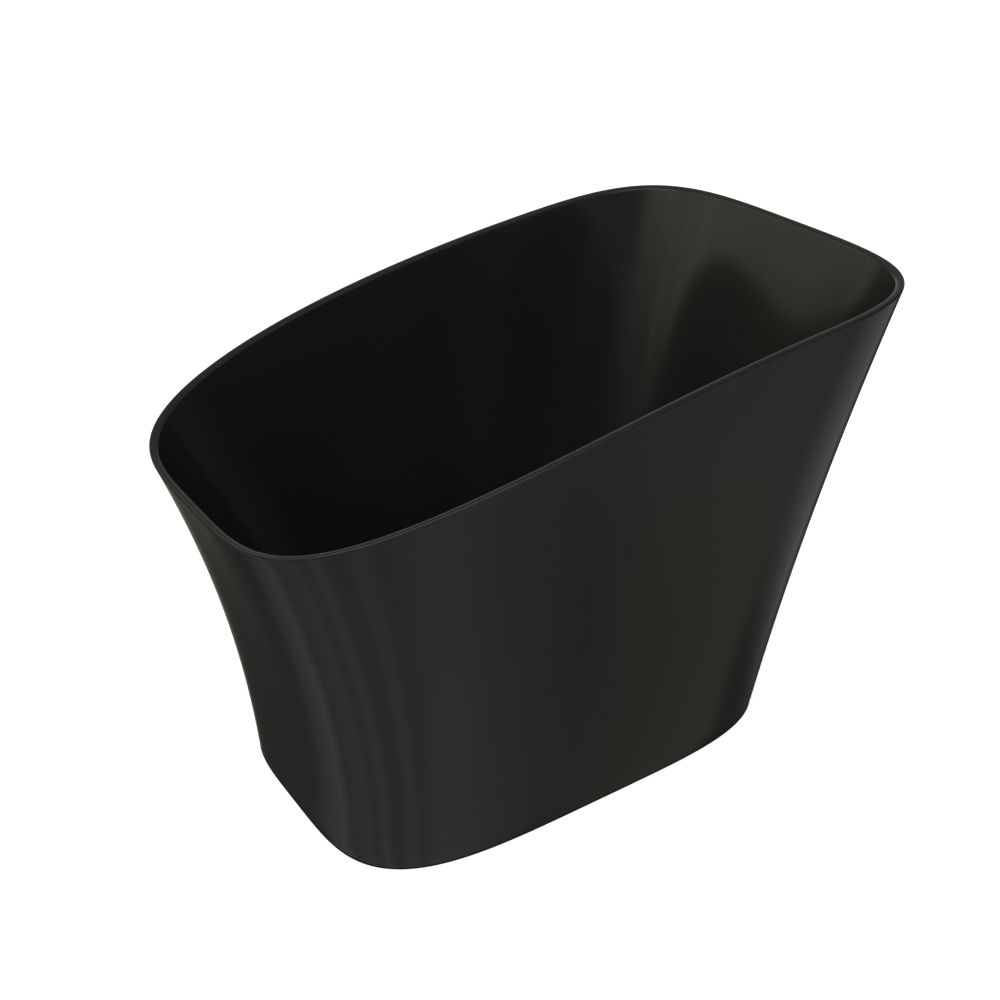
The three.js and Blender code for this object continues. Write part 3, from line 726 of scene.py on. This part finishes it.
def overflow_cover():
    """A round cap that stands off the wall, so that water enters behind its edge."""
    bore = COVER_SCREW.radius + GAP
    sink = COVER_SCREW.head + GAP
    corners = [(bore, COVER.bottom + 0.1), (COVER.boss, COVER.bottom + 0.1), (COVER.boss, COVER.under),
               (COVER.radius - COVER.wall, COVER.under), (COVER.radius - COVER.wall, COVER.bottom),
               (COVER.radius, COVER.bottom), (COVER.radius, COVER.face), (sink, COVER.face),
               (sink, COVER_SCREW.seat - GAP), (bore, COVER_SCREW.seat - GAP)]
    return moved(turned_ring("overflow_cover", corners, 1.1), overflow_place())


def overflow_screw():
    """A machine screw with a hexagonal socket in its head."""
    core = COVER_SCREW.radius - 0.4
    socket = hexagon(3)
    head = COVER_SCREW.head
    rings = [
        circle(core - 0.4, COVER_SCREW.bottom),
        *thread(core, COVER_SCREW.radius, 0.8, COVER_SCREW.bottom + 0.2, COVER_SCREW.seat - 0.2),
        circle(core, COVER_SCREW.seat), circle(head - 0.2, COVER_SCREW.seat),
        circle(head, COVER_SCREW.seat + 0.2), circle(head, COVER_SCREW.top - 0.4),
        circle(head - 0.4, COVER_SCREW.top), circle(socket + 0.2, COVER_SCREW.top),
        circle(socket, COVER_SCREW.top - 0.2), circle(socket, COVER_SCREW.top - 1.6),
        circle(socket * 0.3, COVER_SCREW.top - 1.7),
    ]
    return moved(skin("overflow_screw", rings), overflow_place())


def pipe_route():
    """The overflow pipe's centreline: down behind the wall, round one bend, level to the waste."""
    place = overflow_place()
    down = place.col[0].xyz
    start = place @ Vector((PIPE.start, 0, -PIPE.behind))
    corner = start + down * ((PIPE.level - start.z) / down.z)
    end = Vector((WASTE_X - PIPE.end, 0, PIPE.level))
    turn = down.angle(Vector((1, 0, 0)))
    centre = corner + Vector((PIPE.bend * tan(turn / 2), 0, PIPE.bend))
    bend = []
    for share in np.linspace(0, 1, 61):
        angle = pi + (pi / 2 - turn) + share * turn
        bend.append(centre + PIPE.bend * Vector((cos(angle), 0, sin(angle))))
    straight = [start.lerp(bend[0], share) for share in np.linspace(0, 1, 241)[:-1]]
    level = [bend[-1].lerp(end, share) for share in np.linspace(0, 1, 61)[1:]]
    return [np.array(point) for point in straight + bend + level]


def overflow_pipe():
    """A hose that is corrugated between its two smooth ends."""
    route = pipe_route()
    steps = [0.0, *np.cumsum([np.linalg.norm(b - a) for a, b in zip(route, route[1:])])]
    angles = ANGLES[::3]
    side = np.array([0.0, 1.0, 0.0])
    outside, inside = [], []
    for i, (point, step) in enumerate(zip(route, steps)):
        ahead = route[min(i + 1, len(route) - 1)] - route[max(i - 1, 0)]
        ahead /= np.linalg.norm(ahead)
        up = np.cross(ahead, side)
        wavy = np.clip(min(step - RIBS.start, steps[-1] - RIBS.end - step) / RIBS.fade, 0, 1)
        radius = PIPE.radius - RIBS.depth / 2 * wavy * (1 - cos(2 * pi * step / RIBS.pitch))
        spokes = np.outer(np.cos(angles), side) - np.outer(np.sin(angles), up)
        outside.append(point + radius * spokes)
        inside.append(point + (radius - PIPE.wall) * spokes)
    return skin("overflow_pipe", outside[::-1] + inside, looped=True)


def pipe_nut():
    bore = PIPE.radius + GAP
    grip = bore + ELBOW.wall + GAP
    inside = [(grip, PIPE_NUT.top), (grip, PIPE_NUT.seat), (bore, PIPE_NUT.seat), (bore, PIPE_NUT.bottom)]
    nut = grip_nut("pipe_nut", PIPE_NUT.radius, 14, PIPE_NUT.bottom, PIPE_NUT.top, inside)
    place = Matrix.Rotation(pi / 2, 4, "Y")
    place.translation = (WASTE_X - PIPE_NUT.from_waste, 0, PIPE.level)
    return moved(nut, place)


# ---------- materials ----------
class Nodes:
    """A node tree under construction. An input is a plain value or another node's output."""

    def __init__(self, owner):
        owner.use_nodes = True
        self.tree = owner.node_tree

    def link(self, output, target):
        self.tree.links.new(output, target)

    def put(self, value, target):
        if isinstance(value, bpy.types.NodeSocket):
            self.link(value, target)
        else:
            target.default_value = value

    def node(self, kind, inputs=None, **settings):
        made = self.tree.nodes.new(kind)
        for name, value in settings.items():
            setattr(made, name, value)
        for name, value in (inputs or {}).items():
            self.put(value, made.inputs[name])
        return made

    def math(self, operation, *values):
        made = self.node("ShaderNodeMath", operation=operation)
        for socket, value in zip(made.inputs, values):
            self.put(value, socket)
        return made.outputs[0]

    def plus(self, a, b):
        return self.math("ADD", a, b)

    def times(self, a, b):
        return self.math("MULTIPLY", a, b)

    def scaled(self, color, strength):
        inputs = {0: color, "Scale": strength}
        return self.node("ShaderNodeVectorMath", inputs, operation="SCALE").outputs[0]

    def spread(self, value, low, high, to_low=0.0, to_high=1.0):
        """The value's range from low to high, spread smoothly over another."""
        inputs = {"Value": value, "From Min": low, "From Max": high, "To Min": to_low, "To Max": to_high}
        made = self.node("ShaderNodeMapRange", inputs, interpolation_type="SMOOTHSTEP")
        return made.outputs["Result"]


class Finish(Nodes):
    """A Principled material and the nodes that drive it. Its places are metres on the object."""

    def __init__(self, name, metallic=0.0, specular=0.5, coat=0.0, coat_roughness=0.1):
        self.material = bpy.data.materials.new(name)
        super().__init__(self.material)
        self.shader = self.tree.nodes["Principled BSDF"]
        self.place = self.node("ShaderNodeTexCoord").outputs["Object"]
        plain = {"Metallic": metallic, "Specular IOR Level": specular, "Coat Weight": coat,
                 "Coat Roughness": coat_roughness}
        for socket, value in plain.items():
            self.shader.inputs[socket].default_value = value

    def stretched(self, x, y, z):
        """The place with each axis scaled, which draws grain out along the smallest."""
        return self.node("ShaderNodeMapping", {"Vector": self.place, "Scale": (x, y, z)}).outputs[0]

    def noise(self, scale, detail=3.0, roughness=0.5, place=None):
        inputs = {"Vector": place or self.place, "Scale": scale, "Detail": detail, "Roughness": roughness}
        return self.node("ShaderNodeTexNoise", inputs).outputs["Fac"]

    def cells(self, scale):
        inputs = {"Vector": self.place, "Scale": scale}
        return self.node("ShaderNodeTexVoronoi", inputs).outputs["Distance"]

    def wear(self, low, high):
        """From 0 on flat and hollow places to 1 on sharp edges, broken up by a fine noise."""
        edge = self.node("ShaderNodeAttribute", attribute_name="edge").outputs["Fac"]
        return self.times(self.spread(edge, low, high), self.spread(self.noise(90, 4), 0.35, 0.65))

    def mixed(self, share, a, b):
        """A colour from a at share 0 to b at share 1. Each is three numbers or an output."""
        made = self.node("ShaderNodeMix", data_type="RGBA")
        self.link(share, made.inputs["Factor"])
        for name, value in (("A", a), ("B", b)):
            socket = next(s for s in made.inputs if s.name == name and s.type == "RGBA")
            self.put((*value, 1) if isinstance(value, tuple) else value, socket)
        return next(s for s in made.outputs if s.type == "RGBA")

    def done(self, color, roughness, height=None, depth=0):
        """Joins the colour, the roughness and a bump of that depth in metres to the shader."""
        self.link(color, self.shader.inputs["Base Color"])
        self.link(roughness, self.shader.inputs["Roughness"])
        if height is not None:
            bump = self.node("ShaderNodeBump", {"Height": height, "Distance": depth, "Strength": 1.0})
            self.link(bump.outputs["Normal"], self.shader.inputs["Normal"])
        return self.material


def acrylic():
    """Satin black acrylic: a faint mottle, wiping marks and fine hairlines, burnished at the lip."""
    f = Finish("acrylic")
    mottle = f.spread(f.noise(2.2, 4), 0.3, 0.7)
    smears = f.noise(7, place=f.stretched(1, 1, 0.25))
    hairlines = f.spread(f.noise(60, 2, place=f.stretched(3, 3, 0.12)), 0.35, 0.75)
    worn = f.wear(0.2, 0.9)
    color = f.mixed(mottle, (0.0195, 0.0195, 0.0185), (0.0230, 0.0230, 0.0216))
    color = f.mixed(f.times(worn, 0.5), color, (0.030, 0.029, 0.026))
    rough = f.plus(f.spread(smears, 0.3, 0.7, 0.155, 0.185), f.times(hairlines, 0.02))
    rough = f.plus(rough, f.times(worn, -0.03))
    peel = f.plus(f.noise(160, 2), f.times(f.noise(1400, 1), 0.12))
    return f.done(color, rough, peel, 0.00003)


def sealant():
    """Cured sealant, skinned over and slightly rippled from the nozzle."""
    f = Finish("sealant", specular=0.4)
    ripple = f.noise(55)
    color = f.mixed(f.noise(20), (0.012, 0.012, 0.012), (0.024, 0.024, 0.023))
    return f.done(color, f.spread(ripple, 0.3, 0.7, 0.45, 0.7), ripple, 0.0006)


def board():
    """Chipboard under a brushed coat of glass fibre and resin: chips below, strands and pools above."""
    f = Finish("board", coat=0.35, coat_roughness=0.25)
    chips = f.cells(260)
    strands = f.noise(170, 4, 0.6, f.stretched(1, 0.12, 1))
    cross_strands = f.noise(150, 4, 0.6, f.stretched(0.12, 1, 1))
    color = f.mixed(f.spread(chips, 0.1, 0.7), (0.42, 0.31, 0.17), (0.24, 0.16, 0.08))
    color = f.mixed(f.spread(strands, 0.45, 0.75), color, (0.50, 0.44, 0.30))
    color = f.mixed(f.spread(cross_strands, 0.55, 0.8), color, (0.50, 0.44, 0.30))
    pooled = f.noise(9)
    color = f.mixed(f.spread(pooled, 0.4, 0.7, 0, 0.4), color, (0.17, 0.12, 0.06))
    rough = f.spread(pooled, 0.3, 0.7, 0.62, 0.35)
    return f.done(color, rough, f.plus(strands, cross_strands), 0.0004)


def painted_steel():
    """Grey powder coat with its fine orange peel, chipped to bare steel at the cut edges."""
    f = Finish("painted_steel")
    chipped = f.wear(0.45, 1.0)
    color = f.mixed(f.noise(14), (0.30, 0.31, 0.32), (0.37, 0.38, 0.39))
    color = f.mixed(chipped, color, (0.20, 0.17, 0.14))
    peel = f.noise(700, 2)
    rough = f.plus(f.spread(f.noise(25), 0.3, 0.7, 0.42, 0.56), f.times(chipped, 0.15))
    return f.done(color, rough, peel, 0.00008)


def zinc():
    """Bright zinc plate with a faint yellow and violet passivation bloom and tool marks."""
    f = Finish("zinc", metallic=1.0)
    bloom = f.spread(f.noise(60), 0.3, 0.7)
    color = f.mixed(bloom, (0.66, 0.65, 0.60), (0.60, 0.58, 0.63))
    color = f.mixed(f.wear(0.5, 1.0), color, (0.42, 0.41, 0.40))
    marks = f.noise(900, 2, place=f.stretched(0.2, 0.2, 2))
    rough = f.plus(f.spread(marks, 0.3, 0.7, 0.24, 0.40), f.times(bloom, 0.06))
    return f.done(color, rough, marks, 0.00004)


def nylon():
    """Glass-filled black nylon with a spark-eroded grain and pale scuffs on its edges."""
    f = Finish("nylon", specular=0.45)
    grain = f.noise(1100)
    scuffs = f.wear(0.3, 0.9)
    color = f.mixed(f.spread(f.noise(35, 4), 0.35, 0.7), (0.016, 0.016, 0.016), (0.027, 0.027, 0.026))
    color = f.mixed(f.times(scuffs, 0.5), color, (0.075, 0.073, 0.070))
    rough = f.spread(grain, 0.3, 0.7, 0.46, 0.62)
    return f.done(color, rough, grain, 0.00008)


def rubber():
    """Matt rubber with patches of bloom and dust."""
    f = Finish("rubber", specular=0.3)
    dusty = f.spread(f.noise(40, 4), 0.4, 0.75)
    color = f.mixed(dusty, (0.010, 0.010, 0.010), (0.030, 0.029, 0.027))
    grain = f.noise(800, 2)
    return f.done(color, f.spread(dusty, 0, 1, 0.72, 0.9), grain, 0.00008)


def black_fitting():
    """Brass with a satin black coat, rubbed thin at the edges."""
    f = Finish("black_fitting", coat=0.2, coat_roughness=0.2)
    rubbed = f.wear(0.35, 1.0)
    color = f.mixed(f.noise(30), (0.012, 0.012, 0.0115), (0.019, 0.019, 0.018))
    color = f.mixed(f.times(rubbed, 0.35), color, (0.14, 0.10, 0.055))
    spots = f.spread(f.cells(240), 0.02, 0.12, 1, 0)
    rough = f.plus(f.spread(f.noise(45), 0.3, 0.7, 0.24, 0.34), f.times(spots, 0.12))
    return f.done(color, rough, f.noise(600, 2), 0.00003)


def white_plastic():
    """Moulded polypropylene, yellowing a little, with flow lines and grubby edges."""
    f = Finish("white_plastic")
    f.shader.inputs["Subsurface Weight"].default_value = 0.15
    f.shader.inputs["Subsurface Radius"].default_value = (0.004, 0.004, 0.003)
    flow = f.noise(28, place=f.stretched(1, 1, 0.3))
    color = f.mixed(f.spread(flow, 0.3, 0.7), (0.72, 0.72, 0.69), (0.66, 0.65, 0.60))
    color = f.mixed(f.times(f.wear(0.4, 1.0), 0.4), color, (0.50, 0.48, 0.43))
    rough = f.spread(flow, 0.3, 0.7, 0.36, 0.5)
    return f.done(color, rough, f.noise(350, 2), 0.00005)


MATERIALS = {make.__name__: make() for make in (
    acrylic, sealant, board, painted_steel, zinc, nylon, rubber, black_fitting, white_plastic)}


# ---------- finishing a piece ----------
def mark_edges(piece, sharp=0.0008):
    """Keeps how sharply each point stands out, from 0 flat or hollow to 1 at an edge, for wear."""
    mesh = piece.data
    points = np.zeros(len(mesh.vertices) * 3)
    normals = np.zeros(len(mesh.vertices) * 3, np.float32)
    ends = np.zeros(len(mesh.edges) * 2, np.int32)
    mesh.vertices.foreach_get("co", points)
    mesh.vertex_normals.foreach_get("vector", normals)
    mesh.edges.foreach_get("vertices", ends)
    points, normals, ends = points.reshape(-1, 3), normals.reshape(-1, 3), ends.reshape(-1, 2)
    along = points[ends[:, 1]] - points[ends[:, 0]]
    turn = ((normals[ends[:, 1]] - normals[ends[:, 0]]) * along).sum(1)
    curve = turn / np.maximum((along**2).sum(1), 1e-12) * sharp
    edge = np.zeros(len(points))
    for end in (0, 1):
        np.maximum.at(edge, ends[:, end], curve)
    attribute = mesh.attributes.new("edge", "FLOAT", "POINT")
    attribute.data.foreach_set("value", np.clip(edge, 0, 1).astype(np.float32))


def smooth(piece):
    piece.data.polygons.foreach_set("use_smooth", [True] * len(piece.data.polygons))


def finish(piece, node):
    """Puts the piece in its CAD node's place: its name, material, slot and body."""
    slot = SLOTS[node]
    piece.name = f"{node}_finished"
    smooth(piece)
    mark_edges(piece)
    piece.data.materials.clear()
    piece.data.materials.append(MATERIALS[slot])
    weighted = piece.modifiers.new("weighted normals", "WEIGHTED_NORMAL")
    weighted.weight = 60
    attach(piece, frame["nodes"][node]["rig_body"])
    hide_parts(node)


def finish_each(*builders):
    """Finishes the pieces whose builders have their nodes' names."""
    for build in builders:
        finish(build(), build.__name__)


def build_tub():
    finish_each(basin, outer_skirt, rim_bond, base_board)


def build_frame():
    nut_top = WEB_BOTTOM - GAP
    lock_top = nut_top - NUT.high - GAP
    bore = STUD.radius + GAP
    for i, x in enumerate(RAIL.x, 1):
        finish(cross_rail(x), f"cross_rail_{i}")
    for i, (x, y) in enumerate(rail_screw_spots(), 1):
        finish(rail_screw(x, y), f"rail_screw_{i}")
    for i, (x, y) in enumerate(foot_spots(), 1):
        weld_nut = hex_nut("weld_nut", NUT.flats, bore, nut_top - NUT.high, nut_top)
        lock_nut = hex_nut("lock_nut", NUT.flats, bore, lock_top - NUT.lock_high, lock_top)
        finish(shifted(weld_nut, x, y), f"weld_nut_{i}")
        finish(shifted(lock_nut, x, y), f"lock_nut_{i}")
        finish(foot_stud(x, y), f"foot_stud_{i}")
        finish(foot_pad(x, y), f"foot_pad_{i}")
        finish(foot_sole(x, y), f"foot_sole_{i}")


def build_waste():
    finish_each(waste_flange, waste_body)
    finish(waste_washer("flange_gasket", SEAL.bore, SEAL.flange_radius, FLOOR_TOP + GAP,
                        FLANGE.seat - GAP), "flange_gasket")
    finish(waste_washer("body_gasket", SEAL.bore, SEAL.body_radius, SEAL.body_bottom,
                        FLOOR_TOP - SKIN - GAP), "body_gasket")
    finish(waste_washer("tail_washer", TAIL.radius + GAP, BOWL.neck, TAIL_NUT.seat + GAP,
                        BOWL.bottom - GAP), "tail_washer")
    finish_each(plug_cap, plug_seal, click_post, post_nut, tail_nut, tail_pipe)


def build_overflow():
    finish_each(overflow_ring, overflow_gasket, overflow_body, overflow_cover, overflow_screw,
                overflow_pipe, pipe_nut)


# ---------- studio ----------
COVE_GLOW = 0.8
NEUTRAL = (1, 1, 1)
OLIVE = (1, 1, 0.8)
PALE_OLIVE = (1, 1, 0.93)
WARM = (1, 0.95, 0.85)
AMBER = (1, 0.88, 0.66)


def add_cove():
    """A pale floor that sweeps up into a wall all round. The tub doesn't mirror it."""
    floor_radius, bend, wall = 9000, 3000, 9000
    sweep = [(floor_radius + bend * sin(a), bend * (1 - cos(a))) for a in np.linspace(0, pi / 2, 17)]
    levels = [(300, 0), (3000, 0), *sweep, (floor_radius + bend, wall)]
    cove = skin("cove", [circle(radius, z)[::-1] for radius, z in levels])
    smooth(cove)
    pale = Finish("pale", specular=0.2)
    pale.shader.inputs["Emission Color"].default_value = (1, 1, 1, 1)
    pale.shader.inputs["Emission Strength"].default_value = COVE_GLOW
    grey = pale.mixed(pale.noise(3), (0.80, 0.80, 0.80), (0.82, 0.82, 0.82))
    cove.data.materials.append(pale.done(grey, pale.spread(pale.noise(5), 0, 1, 0.85, 0.95)))
    for kind in ("visible_glossy", "visible_diffuse", "visible_shadow"):
        setattr(cove, kind, False)


def panel(azimuth, elevation, width, height, soft, fade, bright, tint=NEUTRAL):
    """A soft light at an azimuth and elevation. All but its brightness and tint is in degrees.

    The width and height are half its full size. Soft and fade are how far its sides and its ends
    take to fall off.
    """
    return Sizes(azimuth=azimuth, elevation=elevation, width=width, height=height, soft=soft,
                 fade=fade, bright=bright, tint=tint)


PANELS = [
    # A broad soft box over the near foot corner, and a dim ceiling.
    panel(-125, 55, 40, 25, 25, 10, 0.68),
    panel(0, 65, 180, 30, 10, 15, 0.12),
    # The foot side's window, whose sill steps up towards the near side, and its glazing strips.
    panel(115, 24, 4, 19, 8, 3, 0.30, OLIVE),
    panel(142, 27.5, 20, 18, 8, 3, 0.57, OLIVE),
    panel(178, 35, 8, 17, 8, 4, 0.50, OLIVE),
    panel(-148, 38.5, 18, 16, 8, 4, 0.32, OLIVE),
    panel(-164, 38.5, 2, 16, 6, 4, 0.22, OLIVE),
    panel(169, 31, 2, 18, 4, 4, 0.18, OLIVE),
    panel(154, 27.5, 1, 18, 5, 4, 0.14, OLIVE),
    # The far side's low strip, which draws the line along the rim's inner edge.
    panel(56, 5, 30, 12, 20, 8, 0.19),
    # What the floor throws back on the near and foot sides, in soft bands.
    panel(-125, -42, 65, 40, 24, 14, 0.20),
    panel(133, -42, 3, 40, 20, 14, 0.13),
    panel(146, -42, 3, 40, 10, 14, 0.17),
    panel(-175, -42, 1, 40, 7, 14, 0.07),
    panel(-148, -42, 2, 40, 8, 14, 0.14),
    panel(-114, -42, 2, 40, 8, 14, 0.13),
    panel(-82, -42, 6, 40, 14, 14, 0.10),
    # Two low glows behind the head end, an amber patch under them and an amber strip on the far side.
    panel(-37, -28, 3, 8, 14, 7, 0.20, WARM),
    panel(-4, -28, 12, 8, 14, 7, 0.23),
    panel(-33, -47, 5, 5, 8, 6, 0.16, AMBER),
    panel(68, -20, 5, 25, 13, 12, 0.50, AMBER),
]
DOME = Sizes(above=0.13, below=0.045, low=-8, high=12, tint=PALE_OLIVE)


def add_world():
    """A dim dome with soft panels, placed by the direction they are seen in."""
    world = bpy.data.worlds.new("studio")
    bpy.context.scene.world = world
    w = Nodes(world)
    direction = w.node("ShaderNodeTexCoord").outputs["Generated"]
    x, y, z = w.node("ShaderNodeSeparateXYZ", {0: direction}).outputs
    azimuth = w.math("DEGREES", w.math("ARCTAN2", y, x))
    elevation = w.math("DEGREES", w.math("ARCSINE", z))
    light = w.scaled(DOME.tint, w.spread(elevation, DOME.low, DOME.high, DOME.below, DOME.above))
    for lamp in PANELS:
        aside = w.math("ABSOLUTE", w.math("WRAP", w.math("SUBTRACT", azimuth, lamp.azimuth), -180, 180))
        above = w.math("ABSOLUTE", w.math("SUBTRACT", elevation, lamp.elevation))
        mask = w.times(w.spread(aside, lamp.width + lamp.soft, lamp.width),
                       w.spread(above, lamp.height + lamp.fade, lamp.height))
        glow = w.scaled(lamp.tint, w.times(mask, lamp.bright))
        light = w.node("ShaderNodeVectorMath", {0: light, 1: glow}, operation="ADD").outputs[0]
    w.link(light, w.tree.nodes["Background"].inputs["Color"])


add_camera()
build_tub()
build_frame()
build_waste()
build_overflow()
add_cove()
add_world()
bpy.context.scene.view_settings.view_transform = "Standard"
